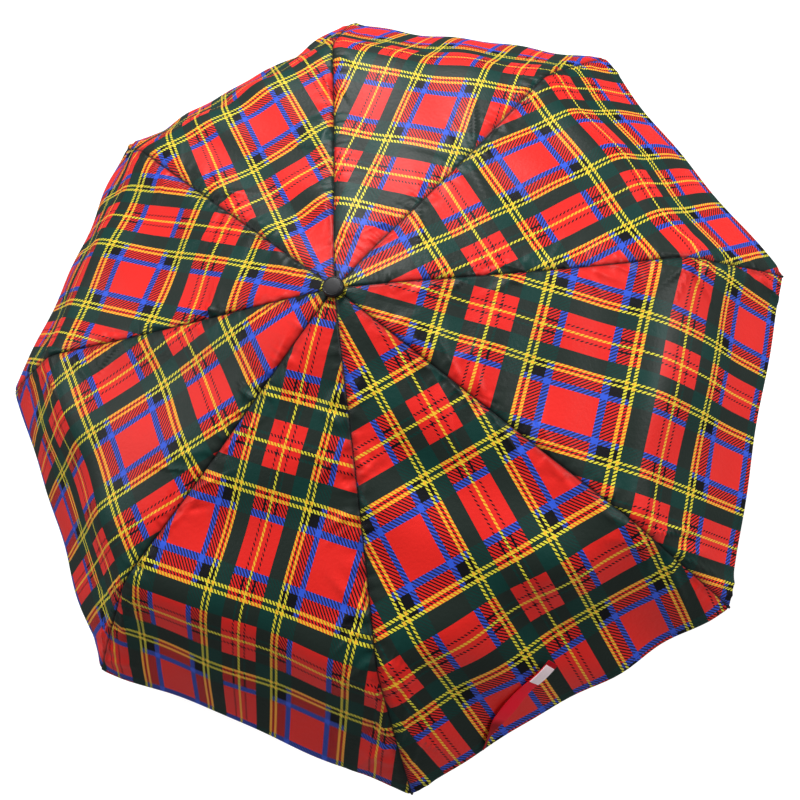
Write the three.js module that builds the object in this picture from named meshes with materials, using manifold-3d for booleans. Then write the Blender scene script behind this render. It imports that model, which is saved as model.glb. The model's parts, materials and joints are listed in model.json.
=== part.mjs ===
// Compact three-fold umbrella with eight panels, modelled open. Millimetres, +Z up along the shaft,
// origin at the centre of the handle's end face. Rib 1 points along +Y, and the ribs go clockwise from above.
import * as THREE from "three";
import { mergeVertices } from "three/addons/utils/BufferGeometryUtils.js";
import Module from "manifold-3d";

const wasm = await Module();
wasm.setup();

// ---- Driving dimensions ----------------------------------------------------------------------------------

const RIB_COUNT = 8;
const GAP = 0.3; // between pieces that touch
const TUBE_GAP = 0.15; // between tubes, bushes and sleeves that slide in each other

// Handle
const END_CAP_HEIGHT = 12;
const END_CAP_RADIUS = 14.2;
const CORD_HOLE_RADIUS = 1.5;
const CORD_HOLE_INSET = 4.5; // from the end cap's rim
const GRIP_HEIGHT = 50;
const GRIP_RADIUS = 14.5;
const GRIP_WAIST = 1.2;
const CORE_RADIUS = 9;
const COLLAR_HEIGHT = 8;
const COLLAR_RADIUS = 15;
const COLLAR_LIP = 3; // height of the collar above the core

// Shaft
const LOWER_TUBE_RADIUS = 3.4;
const MIDDLE_TUBE_RADIUS = 4.55;
const TOP_TUBE_RADIUS = 5.75;
const LOWER_TUBE_WALL = 0.5;
const MIDDLE_TUBE_WALL = 0.4;
const TOP_TUBE_WALL = 0.45;
const LOWER_TUBE_LENGTH = 208;
const MIDDLE_TUBE_LENGTH = 163;
const TOP_TUBE_LENGTH = 192.2;
const TUBE_OVERLAP = 20; // length of each tube that stays inside the next when the shaft is drawn out
const STOP_RIM = 3; // height of the flared rim that stops a tube in its bush
const TUBE_SIDES = 24;

// Crown, cap and washer
const CROWN_RING_STEP = 1.2; // the crown wire's radius over the runner wire's
const CROWN_HEIGHT = 5;
const CROWN_LIP = 2; // crown's edge outside its wire
const CROWN_SPIGOT = 22;
const CROWN_BOSS_RADIUS = 3;
const CROWN_BOSS_HEIGHT = 11;
const WIRE_RADIUS = 0.5;
const WIRE_GROOVE = 1.6;
const SLOT_WIDTH = 2.2;
const WASHER_RADIUS = 9.5;
const WASHER_HEIGHT = 1;
const CAP_RADIUS = 11;
const CAP_HEIGHT = 6.6;
const CAP_EDGE = 1.6;

// Runner
const RUNNER_LIP = 1.2;
const RUNNER_HEAD = 7;
const RUNNER_SLEEVE = 20.5; // sleeve below the head
const RUNNER_BORE_GAP = 0.25;
const RUNNER_WALL = 1.3;
const RUNNER_SHOULDER = 0.1; // the wire's groove stays this far outside the sleeve
const STOP_COLLAR_WALL = 0.9;

// Ribs
const RIB_SLOPE = 9.5; // degrees below level, open
const INNER_RIB = 176;
const MIDDLE_RIB = 182;
const OUTER_RIB = 162;
const OUTER_SLOPE = 37.15; // degrees below level, open
const OUTER_BOW = 3;
const ROD_RADIUS = 1.1;
const TIP_RADIUS = 1.6;
const TIP_LENGTH = 9;
const CHANNEL_WIDTH = 3.6;
const CHANNEL_HEIGHT = 4.4;
const CHANNEL_WALL = 0.6;
const CHANNEL_SETBACK = 4.5; // from a pivot to where the channel starts
const TONGUE = 1.6; // thickness of tongues and stretchers
const EYE_RADIUS = 1.4;
const HOLE_RADIUS = 0.8;
const PIN_RADIUS = 0.5;
const KNEE_LIFT = 0.5; // pivots stand this far outside the channel's top
const ROD_CLEARANCE = 0.4; // folded outer rib to channel

// Stretchers
const STRETCHER_PIVOT = 80; // along the inner rib
const STRETCHER_SPARE = 1; // the stretcher is this much longer than its pivot is along the rib
const STRETCHER_HEIGHT = 2;
const OPEN_PIVOT_GAP = 1; // the stretcher's end stops this far from the runner wire's centre line

// Cloth
const CLOTH = 0.6;
const CLOTH_HOLE = 4.2;
const CLOTH_TOP = 9; // cloth's centre above the crown wire
// Height of the cloth over the rib at shares of its length: above the channel, and above the outer rib's chord.
const CLOTH_LIFT_INNER = [[0.14, 7.2], [0.39, 4.3], [0.667, 2.5], [0.945, 5.6], [0.979, 5.9]];
const CLOTH_LIFT_OUTER = [[0.309, 6], [0.688, 5.6]];
const CORNER_BACK = 1; // cloth corner inside the rib's tip
const CORNER_GAP = 1.7; // cloth corner over the tip
const HEM_RISE = 5; // the hem curves in between the tips
const SEAM_INSET = 0.3;

// Tie strap, sewn to the fourth panel's hem and lying on it
const STRAP_PANEL = 4;
const STRAP_WIDTH = 12;
const STRAP_THICKNESS = 0.8;
const STRAP_LIFT = 0.8;
const STRAP_ROOT = [-100, 4]; // across from the panel's centre line, up from the hem
const STRAP_BEND = [-60, 22];
const STRAP_TIP = [2, 47];
const PATCH_LENGTH = 20;
const PATCH_THICKNESS = 1;

const rad = THREE.MathUtils.degToRad;

// ---- Solids ----------------------------------------------------------------------------------------------

function toSolid(geometry) {
  const bare = geometry.clone();
  bare.deleteAttribute("normal");
  bare.deleteAttribute("uv");
  const merged = mergeVertices(bare, 1e-4);
  const make = (triVerts) =>
    new wasm.Manifold(
      new wasm.Mesh({ numProp: 3, vertProperties: merged.attributes.position.array, triVerts }),
    );
  const triVerts = new Uint32Array(merged.index.array);
  const made = make(triVerts);
  if (made.volume() > 0) return made;
  for (let i = 0; i < triVerts.length; i += 3)
    [triVerts[i + 1], triVerts[i + 2]] = [triVerts[i + 2], triVerts[i + 1]];
  return make(triVerts);
}

function toGeometry(solid) {
  const mesh = solid.getMesh();
  const geometry = new THREE.BufferGeometry();
  geometry.setAttribute("position", new THREE.BufferAttribute(mesh.vertProperties, 3));
  geometry.setIndex(new THREE.BufferAttribute(mesh.triVerts, 1));
  geometry.computeVertexNormals();
  return geometry;
}

const join = (...solids) => solids.reduce((a, b) => a.add(b));

// Turned about Z: the outline's points are [radius, height].
function turned(outline, sides = TUBE_SIDES) {
  const points = outline.map(([r, z]) => new THREE.Vector2(r, z));
  if (outline[0][0] > 0) points.push(points[0].clone());
  return toSolid(new THREE.LatheGeometry(points, sides).rotateX(Math.PI / 2));
}

const tube = (inner, outer, low, high) =>
  turned([[inner, low], [outer, low], [outer, high], [inner, high]]);

// A wire ring about Z at a given height, with its facets lined up with the slots.
function ring(radius, height) {
  const section = Array.from({ length: 4 }, (_, k) => {
    const a = (k * Math.PI) / 2;
    return [radius + WIRE_RADIUS * Math.cos(a), height + WIRE_RADIUS * Math.sin(a)];
  });
  return turned(section, 4 * RIB_COUNT);
}

// A flat plate in a rib's plane: X along the rib, Z up, thickness across.
function plate(outline, thickness, offset = 0) {
  const shape = new THREE.Shape(outline.map(([x, z]) => new THREE.Vector2(x, z)));
  const flat = new THREE.ExtrudeGeometry(shape, { depth: thickness, bevelEnabled: false });
  return toSolid(flat.translate(0, 0, -thickness / 2 + offset).rotateX(Math.PI / 2));
}

// A pin or a hole across a rib's plane at [x, z].
function crossPin(x, z, radius, length, sides = 6) {
  return toSolid(new THREE.CylinderGeometry(radius, radius, length, sides).translate(x, 0, z));
}

// Points on an arc about [x, z], from one angle to another in degrees.
function arc(x, z, radius, from, to, steps = 4) {
  return Array.from({ length: steps + 1 }, (_, k) => {
    const a = rad(from + ((to - from) * k) / steps);
    return [x + radius * Math.cos(a), z + radius * Math.sin(a)];
  });
}

// An inverted U section between two places along X.
function channel(from, to) {
  const w = CHANNEL_WIDTH / 2;
  const h = CHANNEL_HEIGHT / 2;
  const t = CHANNEL_WALL;
  const section = [[-w, -h], [w, -h], [w, h], [-w, h]];
  const inside = [[t - w, -2 * h], [w - t, -2 * h], [w - t, h - t], [t - w, h - t]];
  const along = (outline, low, high) => {
    const shape = new THREE.Shape(outline.map(([y, z]) => new THREE.Vector2(y, z)));
    const bar = new THREE.ExtrudeGeometry(shape, { depth: high - low, bevelEnabled: false });
    // Section's first axis to Y and second to Z, extrusion to X.
    const basis = new THREE.Matrix4().makeBasis(
      new THREE.Vector3(0, 1, 0),
      new THREE.Vector3(0, 0, 1),
      new THREE.Vector3(1, 0, 0),
    );
    return toSolid(bar.translate(0, 0, low).applyMatrix4(basis));
  };
  return along(section, from, to).subtract(along(inside, from - 1, to + 1));
}

// The two ears of a fork that hold a rivet at [x, z], and the rivet.
function fork(outline, x, z) {
  const across = (CHANNEL_WIDTH - CHANNEL_WALL) / 2;
  return join(
    plate(outline, CHANNEL_WALL, across),
    plate(outline, CHANNEL_WALL, -across),
    crossPin(x, z, PIN_RADIUS, CHANNEL_WIDTH),
  );
}

// ---- Heights and places that follow from the driving dimensions --------------------------------------------

const gripLow = END_CAP_HEIGHT + GAP;
const gripHigh = gripLow + GRIP_HEIGHT;
const collarLow = gripHigh + GAP;
const collarHigh = collarLow + COLLAR_HEIGHT;
const coreHigh = collarHigh - COLLAR_LIP;

const lowerTubeLow = gripLow + 2;
const lowerTubeHigh = lowerTubeLow + LOWER_TUBE_LENGTH;
const middleTubeLow = lowerTubeHigh - TUBE_OVERLAP;
const middleTubeHigh = middleTubeLow + MIDDLE_TUBE_LENGTH;
const topTubeLow = middleTubeHigh - TUBE_OVERLAP;
const topTubeHigh = topTubeLow + TOP_TUBE_LENGTH;
const topTubeInner = TOP_TUBE_RADIUS - TOP_TUBE_WALL;
const middleTubeInner = MIDDLE_TUBE_RADIUS - MIDDLE_TUBE_WALL;

const sleeveRadius = TOP_TUBE_RADIUS + RUNNER_BORE_GAP + RUNNER_WALL;
const runnerRing = sleeveRadius + RUNNER_SHOULDER + WIRE_GROOVE / 2; // radius of the runner wire
const crownRing = runnerRing + CROWN_RING_STEP; // radius of the crown wire
const crownLow = topTubeHigh + GAP;
const crownZ = crownLow + CROWN_HEIGHT / 2; // height of the crown wire
const crownHigh = crownLow + CROWN_HEIGHT;
const bossHigh = crownHigh + CROWN_BOSS_HEIGHT;

// The stretcher hangs between the inner rib and the runner wire, and so sets the runner's height.
const stretcherLength = STRETCHER_PIVOT + STRETCHER_SPARE;
const stretcherReach = crownRing + STRETCHER_PIVOT * Math.cos(rad(RIB_SLOPE)) - runnerRing;
const stretcherSlope = Math.acos(stretcherReach / stretcherLength);
const stretcherPivotZ = crownZ - STRETCHER_PIVOT * Math.sin(rad(RIB_SLOPE));
const runnerZ = stretcherPivotZ - stretcherLength * Math.sin(stretcherSlope);
const runnerLow = runnerZ - RUNNER_HEAD / 2;
const runnerHigh = runnerZ + RUNNER_HEAD / 2;

const channelTop = CHANNEL_HEIGHT / 2;
const kneeZ = channelTop + KNEE_LIFT; // inner to middle pivot, above the rib's centre line
const elbowZ = -(channelTop + ROD_CLEARANCE + ROD_RADIUS); // middle to outer pivot, below it

// A point of a rib's plane as [radius, height], from its place along the inner and middle ribs and above them.
function onRib(along, above) {
  const c = Math.cos(rad(RIB_SLOPE));
  const s = Math.sin(rad(RIB_SLOPE));
  return [crownRing + along * c + above * s, crownZ - along * s + above * c];
}

const elbow = onRib(INNER_RIB + MIDDLE_RIB, elbowZ);

function onOuterRib(along, above) {
  const c = Math.cos(rad(OUTER_SLOPE));
  const s = Math.sin(rad(OUTER_SLOPE));
  return [elbow[0] + along * c + above * s, elbow[1] - along * s + above * c];
}

// ---- Handle ----------------------------------------------------------------------------------------------

function endCap() {
  const edge = 1.2;
  const body = turned([
    [0, 0],
    [END_CAP_RADIUS - edge, 0],
    [END_CAP_RADIUS, edge],
    [END_CAP_RADIUS, END_CAP_HEIGHT],
    [0, END_CAP_HEIGHT],
  ]);
  const cordHole = crossPin(END_CAP_RADIUS - CORD_HOLE_INSET, END_CAP_HEIGHT / 2, CORD_HOLE_RADIUS, 40, 12);
  return body.subtract(cordHole);
}

function handleCore() {
  const bore = LOWER_TUBE_RADIUS + TUBE_GAP;
  return turned([
    [0, gripLow],
    [CORE_RADIUS, gripLow],
    [CORE_RADIUS, coreHigh],
    [bore, coreHigh],
    [bore, lowerTubeLow - GAP],
    [0, lowerTubeLow - GAP],
  ]);
}

function handleGrip() {
  const bore = CORE_RADIUS + TUBE_GAP;
  const steps = 6;
  const side = Array.from({ length: steps + 1 }, (_, k) => {
    const t = k / steps;
    return [GRIP_RADIUS - GRIP_WAIST * Math.sin(Math.PI * t), gripLow + GRIP_HEIGHT * t];
  });
  return turned([[bore, gripLow], ...side, [bore, gripHigh]]);
}

function handleCollar() {
  const bore = CORE_RADIUS + TUBE_GAP;
  const edge = 1;
  return turned([
    [bore, collarLow],
    [GRIP_RADIUS, collarLow],
    [COLLAR_RADIUS, collarLow + edge],
    [COLLAR_RADIUS, collarHigh - edge],
    [COLLAR_RADIUS - edge, collarHigh],
    [bore, collarHigh],
  ]);
}

// ---- Shaft -----------------------------------------------------------------------------------------------

// A tube whose top is flared to stop in the bush of the next one.
function stoppedTube(radius, wall, low, high, rimRadius) {
  return turned([
    [radius - wall, low],
    [radius, low],
    [radius, high - STOP_RIM],
    [rimRadius, high - STOP_RIM + 0.4],
    [rimRadius, high],
    [radius - wall, high],
  ]);
}

const bush = (insideRadius, outsideRadius, low, high) =>
  tube(insideRadius + TUBE_GAP, outsideRadius - TUBE_GAP, low, high);

const bushTop = (tubeHigh) => tubeHigh - STOP_RIM - GAP;

// ---- Crown, runner and cap -------------------------------------------------------------------------------

// A disc with a groove for its wire round the edge, as turned outline points from the bottom edge upwards.
function groovedEdge(ringRadius, lip, middle, height) {
  const floor = ringRadius - WIRE_GROOVE / 2;
  return [
    [ringRadius + lip, middle - height / 2],
    [ringRadius + lip, middle - WIRE_GROOVE / 2],
    [floor, middle - WIRE_GROOVE / 2],
    [floor, middle + WIRE_GROOVE / 2],
    [ringRadius + lip, middle + WIRE_GROOVE / 2],
    [ringRadius + lip, middle + height / 2],
  ];
}

// Slots for the ribs' or stretchers' ends, open outwards from a given radius.
function slots(from, middle, height) {
  const cutter = toSolid(new THREE.BoxGeometry(10, SLOT_WIDTH, height + 2).translate(from + 5, 0, middle));
  return join(
    ...Array.from({ length: RIB_COUNT }, (_, k) => cutter.rotate([0, 0, 90 - (360 * k) / RIB_COUNT])),
  );
}

function crown() {
  const spigot = topTubeInner - TUBE_GAP;
  const body = turned([
    [0, crownLow - CROWN_SPIGOT],
    [spigot, crownLow - CROWN_SPIGOT],
    [spigot, crownLow],
    ...groovedEdge(crownRing, CROWN_LIP, crownZ, CROWN_HEIGHT),
    [CROWN_BOSS_RADIUS, crownHigh],
    [CROWN_BOSS_RADIUS, bossHigh],
    [0, bossHigh],
  ]);
  return body.subtract(slots(crownRing - EYE_RADIUS - GAP, crownZ, CROWN_HEIGHT));
}

function runner() {
  const bore = TOP_TUBE_RADIUS + RUNNER_BORE_GAP;
  const body = turned([
    [bore, runnerLow - RUNNER_SLEEVE],
    [sleeveRadius + 0.4, runnerLow - RUNNER_SLEEVE],
    [sleeveRadius + 0.4, runnerLow - RUNNER_SLEEVE + 2],
    [sleeveRadius, runnerLow - RUNNER_SLEEVE + 3],
    [sleeveRadius, runnerLow],
    ...groovedEdge(runnerRing, RUNNER_LIP, runnerZ, RUNNER_HEAD),
    [bore, runnerHigh],
  ]);
  return body.subtract(slots(runnerRing - STRETCHER_HEIGHT / 2 - GAP, runnerZ, RUNNER_HEAD));
}

const clothAxisZ = crownZ + CLOTH_TOP;
const washerLow = crownHigh + 3;

function cap() {
  const low = clothAxisZ + GAP;
  const high = low + CAP_HEIGHT;
  const socket = CROWN_BOSS_RADIUS + GAP;
  return turned([
    [socket, low],
    [CAP_RADIUS - CAP_EDGE / 2, low],
    [CAP_RADIUS, low + CAP_EDGE / 2],
    [CAP_RADIUS, high - 2 * CAP_EDGE],
    [CAP_RADIUS - CAP_EDGE / 2, high - CAP_EDGE / 2],
    [CAP_RADIUS - CAP_EDGE, high],
    [0, high],
    [0, bossHigh + GAP],
    [socket, bossHigh + GAP],
  ].reverse());
}

// ---- Ribs and stretchers, each from its own pivot along X ---------------------------------------------------

function innerRib() {
  const eye = plate(
    [[8, channelTop], ...arc(0, 0, EYE_RADIUS, 90, 270), [4, -EYE_RADIUS], [8, -channelTop + 1]],
    TONGUE,
  ).subtract(crossPin(0, 0, HOLE_RADIUS, 4));
  const ears = fork(
    [
      [INNER_RIB - 7, -channelTop],
      [INNER_RIB - 2, -channelTop],
      ...arc(INNER_RIB, kneeZ, EYE_RADIUS, -30, 120),
      [INNER_RIB - 6, channelTop],
      [INNER_RIB - 7, channelTop],
    ],
    INNER_RIB,
    kneeZ,
  );
  return join(
    channel(CHANNEL_SETBACK, INNER_RIB - CHANNEL_SETBACK),
    eye,
    ears,
    crossPin(STRETCHER_PIVOT, 0, PIN_RADIUS, CHANNEL_WIDTH),
  );
}

function middleRib() {
  const tongue = plate(
    [
      [8, channelTop],
      [3, kneeZ + EYE_RADIUS / 2],
      ...arc(0, kneeZ, EYE_RADIUS, 80, 240),
      [CHANNEL_SETBACK, -channelTop + 1],
      [8, -channelTop + 1],
    ],
    TONGUE,
  ).subtract(crossPin(0, kneeZ, HOLE_RADIUS, 4));
  const ears = fork(
    [
      [MIDDLE_RIB - 7, channelTop],
      [MIDDLE_RIB - 7, -channelTop],
      ...arc(MIDDLE_RIB, elbowZ, EYE_RADIUS, -120, 30),
      [MIDDLE_RIB - 2, channelTop],
    ],
    MIDDLE_RIB,
    elbowZ,
  );
  return join(channel(CHANNEL_SETBACK, MIDDLE_RIB - CHANNEL_SETBACK), tongue, ears);
}

// A bowed rod with a flattened eye at its pivot and a moulded tip at its end.
function outerRib() {
  const rodStart = 4;
  const bow = new THREE.QuadraticBezierCurve3(
    new THREE.Vector3(rodStart, 0, 0),
    new THREE.Vector3(OUTER_RIB / 2, 0, 2 * OUTER_BOW),
    new THREE.Vector3(OUTER_RIB, 0, 0),
  );
  const section = new THREE.Shape(arc(0, 0, ROD_RADIUS, 0, 300, 5).map(([x, y]) => new THREE.Vector2(x, y)));
  const rod = toSolid(new THREE.ExtrudeGeometry(section, { extrudePath: bow, steps: 6, bevelEnabled: false }));
  const eye = plate([[8, 1], ...arc(0, 0, EYE_RADIUS, 60, 300), [8, -1]], TONGUE).subtract(
    crossPin(0, 0, HOLE_RADIUS, 4),
  );
  const tip = turned(
    [
      [0, OUTER_RIB - TIP_LENGTH],
      [ROD_RADIUS, OUTER_RIB - TIP_LENGTH],
      [TIP_RADIUS, OUTER_RIB - TIP_LENGTH + 1],
      [TIP_RADIUS, OUTER_RIB - 1],
      [TIP_RADIUS / 2, OUTER_RIB],
      [0, OUTER_RIB],
    ],
    8,
  ).rotate([0, 90, 0]);
  return join(rod, eye, tip);
}

function stretcher() {
  const h = STRETCHER_HEIGHT / 2;
  const eye = EYE_RADIUS - 0.1;
  const end = stretcherLength - OPEN_PIVOT_GAP;
  return plate(
    [...arc(0, 0, eye, 50, 310), [end - h, -h], [end, -h / 2], [end, h / 2], [end - h, h]],
    TONGUE,
  ).subtract(crossPin(0, 0, HOLE_RADIUS, 4));
}

// ---- Cloth -----------------------------------------------------------------------------------------------

// The cloth's outer surface along a rib, from the crown to the tip, as [radius, height].
const ribLength = INNER_RIB + MIDDLE_RIB;
const tipPoint = onOuterRib(OUTER_RIB, 0);
const clothLine = new THREE.CatmullRomCurve3(
  [
    [CLOTH_HOLE, clothAxisZ - CLOTH_HOLE * Math.tan(rad(RIB_SLOPE))],
    ...CLOTH_LIFT_INNER.map(([share, lift]) => onRib(share * ribLength, channelTop + lift)),
    ...CLOTH_LIFT_OUTER.map(([share, lift]) => onOuterRib(share * OUTER_RIB, lift)),
    [tipPoint[0] - CORNER_BACK, tipPoint[1] + TIP_RADIUS + CLOTH + CORNER_GAP],
  ].map(([r, z]) => new THREE.Vector3(r, 0, z)),
  false,
  "centripetal",
);
const COLUMNS = 4;
const evenly = (steps) => Array.from({ length: steps + 1 }, (_, k) => k / steps);

// Rows of the cloth at each point that shapes its line, and one between them, as shares of its length.
const marks = clothLine.getLengths(20 * (clothLine.points.length - 1));
const clothRows = marks.filter((_, k) => k % 10 === 0).map((length) => length / marks.at(-1));
const halfPanel = Math.PI / RIB_COUNT;

// A point of the cloth over panel k: its share of the line along the ribs, and across from rib k to rib k + 1.
function clothPoint(panel, along, across) {
  const p = clothLine.getPointAt(THREE.MathUtils.clamp(along, 0, 1));
  const start = Math.PI / 2 - 2 * halfPanel * (panel - 1);
  const a = new THREE.Vector3(p.x * Math.cos(start), p.x * Math.sin(start), p.z);
  const end = start - 2 * halfPanel;
  const b = new THREE.Vector3(p.x * Math.cos(end), p.x * Math.sin(end), p.z);
  return a.lerp(b, across);
}

// A thin solid over a grid of points, from its upper surface down by its thickness.
function sheet(rowShares, columnShares, pointAt, thickness) {
  const rows = rowShares.length;
  const columns = columnShares.length;
  const corners = [];
  for (const drop of [0, thickness])
    for (const along of rowShares)
      for (const across of columnShares) {
        const p = pointAt(along, across);
        corners.push(p.x, p.y, p.z - drop);
      }
  const lower = rows * columns;
  const at = (i, j) => i * columns + j;
  const faces = [];
  const quad = (a, b, c, d) => faces.push(a, b, c, a, c, d);
  for (let i = 0; i < rows - 1; i++)
    for (let j = 0; j < columns - 1; j++) {
      quad(at(i, j), at(i + 1, j), at(i + 1, j + 1), at(i, j + 1));
      quad(lower + at(i, j), lower + at(i, j + 1), lower + at(i + 1, j + 1), lower + at(i + 1, j));
    }
  const wall = (a, b) => quad(a, b, lower + b, lower + a);
  for (let j = 0; j < columns - 1; j++) {
    wall(at(0, j), at(0, j + 1));
    wall(at(rows - 1, j + 1), at(rows - 1, j));
  }
  for (let i = 0; i < rows - 1; i++) {
    wall(at(i + 1, 0), at(i, 0));
    wall(at(i, columns - 1), at(i + 1, columns - 1));
  }
  const geometry = new THREE.BufferGeometry();
  geometry.setAttribute("position", new THREE.Float32BufferAttribute(corners, 3));
  geometry.setIndex(faces);
  return toSolid(geometry);
}

function canopyPanel(panel) {
  const lineLength = clothLine.getLength();
  return sheet(
    clothRows,
    evenly(COLUMNS),
    (along, across) => {
      const rise = (4 * across * (1 - across) * HEM_RISE) / lineLength;
      const width = 2 * Math.sin(halfPanel) * clothLine.getPointAt(along * (1 - rise)).x;
      const inset = SEAM_INSET / width;
      return clothPoint(panel, along * (1 - rise), inset + across * (1 - 2 * inset));
    },
    CLOTH,
  );
}

// A point over the strap's panel from [across its centre line, up from the hem].
function overPanel([side, up], lift) {
  const along = Math.min(1 - up / clothLine.getLength(), 1);
  const width = 2 * Math.sin(halfPanel) * clothLine.getPointAt(along).x;
  return clothPoint(STRAP_PANEL, along, 0.5 - side / width).add(new THREE.Vector3(0, 0, lift));
}

const strapRoute = new THREE.QuadraticBezierCurve(
  new THREE.Vector2(...STRAP_ROOT),
  new THREE.Vector2(...STRAP_BEND),
  new THREE.Vector2(...STRAP_TIP),
);

function onStrap(from, to, steps, lift, thickness) {
  return sheet(
    evenly(steps),
    evenly(1),
    (along, across) => {
      const t = from + (to - from) * along;
      const middle = strapRoute.getPoint(t);
      const aside = strapRoute.getTangent(t).rotateAround(new THREE.Vector2(), Math.PI / 2);
      middle.addScaledVector(aside, STRAP_WIDTH * (across - 0.5));
      return overPanel([middle.x, middle.y], lift + thickness);
    },
    thickness,
  );
}

// ---- Assembly --------------------------------------------------------------------------------------------

const finish = (color, roughness, metalness) =>
  new THREE.MeshStandardMaterial({ color, roughness, metalness, flatShading: true });
const blackPlastic = finish(0x37373a, 0.45, 0);
const gripRubber = finish(0x222224, 0.8, 0);
const steel = finish(0x9a9ca0, 0.35, 1);
const blackSteel = finish(0x2b2c2f, 0.4, 0.8);
const wireSteel = finish(0xb4b6ba, 0.3, 1);
const plaid = finish(0xc8282c, 0.7, 0);
const crimson = finish(0xc80a1e, 0.6, 0);
const palePink = finish(0xffd7e1, 0.9, 0);

const umbrella = new THREE.Group();

function place(parent, name, solid, material) {
  const mesh = new THREE.Mesh(toGeometry(solid), material);
  mesh.name = name;
  parent.add(mesh);
  return mesh;
}

place(umbrella, "handle_end_cap", endCap(), blackPlastic);
place(umbrella, "handle_core", handleCore(), blackPlastic);
place(umbrella, "handle_grip", handleGrip(), gripRubber);
place(umbrella, "handle_collar", handleCollar(), blackPlastic);
place(
  umbrella,
  "lower_tube",
  stoppedTube(LOWER_TUBE_RADIUS, LOWER_TUBE_WALL, lowerTubeLow, lowerTubeHigh, middleTubeInner - TUBE_GAP),
  steel,
);
place(
  umbrella,
  "lower_bush",
  bush(LOWER_TUBE_RADIUS, middleTubeInner, middleTubeLow + GAP, bushTop(lowerTubeHigh)),
  blackPlastic,
);
place(
  umbrella,
  "middle_tube",
  stoppedTube(MIDDLE_TUBE_RADIUS, MIDDLE_TUBE_WALL, middleTubeLow, middleTubeHigh, topTubeInner - TUBE_GAP),
  steel,
);
place(
  umbrella,
  "upper_bush",
  bush(MIDDLE_TUBE_RADIUS, topTubeInner, topTubeLow + GAP, bushTop(middleTubeHigh)),
  blackPlastic,
);
place(umbrella, "top_tube", tube(topTubeInner, TOP_TUBE_RADIUS, topTubeLow, topTubeHigh), steel);
place(umbrella, "crown", crown(), blackPlastic);
place(umbrella, "crown_wire", ring(crownRing, crownZ), wireSteel);
place(
  umbrella,
  "stop_collar",
  tube(
    TOP_TUBE_RADIUS + TUBE_GAP,
    TOP_TUBE_RADIUS + TUBE_GAP + STOP_COLLAR_WALL,
    runnerHigh + GAP,
    topTubeHigh,
  ),
  blackPlastic,
);
place(
  umbrella,
  "crown_washer",
  tube(CROWN_BOSS_RADIUS + GAP, WASHER_RADIUS, washerLow, washerLow + WASHER_HEIGHT),
  blackPlastic,
);
place(umbrella, "cap", cap(), blackPlastic);
place(umbrella, "runner", runner(), blackPlastic);
place(umbrella, "runner_wire", ring(runnerRing, runnerZ), wireSteel);

for (let k = 1; k <= RIB_COUNT; k++) {
  const ribPlane = new THREE.Group();
  ribPlane.rotation.z = Math.PI / 2 - 2 * halfPanel * (k - 1);
  umbrella.add(ribPlane);

  const innerFrame = new THREE.Group();
  innerFrame.position.set(crownRing, 0, crownZ);
  innerFrame.rotation.y = rad(RIB_SLOPE);
  ribPlane.add(innerFrame);
  place(innerFrame, `inner_rib_${k}`, innerRib(), blackSteel);
  place(innerFrame, `middle_rib_${k}`, middleRib(), blackSteel).position.x = INNER_RIB;

  const outerFrame = new THREE.Group();
  outerFrame.position.set(elbow[0], 0, elbow[1]);
  outerFrame.rotation.y = rad(OUTER_SLOPE);
  ribPlane.add(outerFrame);
  place(outerFrame, `outer_rib_${k}`, outerRib(), blackSteel);

  const pivot = onRib(STRETCHER_PIVOT, 0);
  const stretcherFrame = new THREE.Group();
  stretcherFrame.position.set(pivot[0], 0, pivot[1]);
  stretcherFrame.rotation.y = Math.PI - stretcherSlope;
  ribPlane.add(stretcherFrame);
  place(stretcherFrame, `stretcher_${k}`, stretcher(), blackSteel);

  place(umbrella, `canopy_panel_${k}`, canopyPanel(k), plaid);
}

const patchShare = PATCH_LENGTH / strapRoute.getLength();
place(umbrella, "tie_strap", onStrap(0, 1, 6, STRAP_LIFT, STRAP_THICKNESS), crimson);
place(
  umbrella,
  "hook_patch",
  onStrap(1 - patchShare, 1 - 0.1 * patchShare, 2, STRAP_LIFT + STRAP_THICKNESS + GAP, PATCH_THICKNESS),
  palePink,
);

export default umbrella;
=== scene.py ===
"""Looks of a compact umbrella with a red tartan canopy, open and standing on its handle's end."""

import json
import math

import bpy
import numpy as np
from mathutils import Matrix, Vector


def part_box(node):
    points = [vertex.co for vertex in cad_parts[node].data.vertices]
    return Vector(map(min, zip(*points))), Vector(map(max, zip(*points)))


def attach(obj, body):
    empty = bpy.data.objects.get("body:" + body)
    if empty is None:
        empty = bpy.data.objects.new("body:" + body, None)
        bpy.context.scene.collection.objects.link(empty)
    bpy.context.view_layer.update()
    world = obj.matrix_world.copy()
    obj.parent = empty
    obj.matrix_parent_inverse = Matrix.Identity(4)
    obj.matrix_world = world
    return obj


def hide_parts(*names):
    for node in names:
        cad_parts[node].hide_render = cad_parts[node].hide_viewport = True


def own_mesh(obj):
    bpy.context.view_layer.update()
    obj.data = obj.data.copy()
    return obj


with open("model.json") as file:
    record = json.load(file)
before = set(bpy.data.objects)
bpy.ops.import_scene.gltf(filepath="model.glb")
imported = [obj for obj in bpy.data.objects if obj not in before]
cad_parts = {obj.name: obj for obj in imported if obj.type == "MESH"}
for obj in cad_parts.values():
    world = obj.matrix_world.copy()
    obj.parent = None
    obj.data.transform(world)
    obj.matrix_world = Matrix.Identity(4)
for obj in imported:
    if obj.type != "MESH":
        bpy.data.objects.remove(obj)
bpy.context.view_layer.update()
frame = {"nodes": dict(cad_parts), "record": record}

MM = 0.001
RIBS = 8
HALF = math.pi / RIBS  # half a gore's angle
RIB_IDS = range(1, RIBS + 1)
JOINTS = {j["name"]: j for j in frame["record"]["behaviour"]["joints"]}


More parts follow.
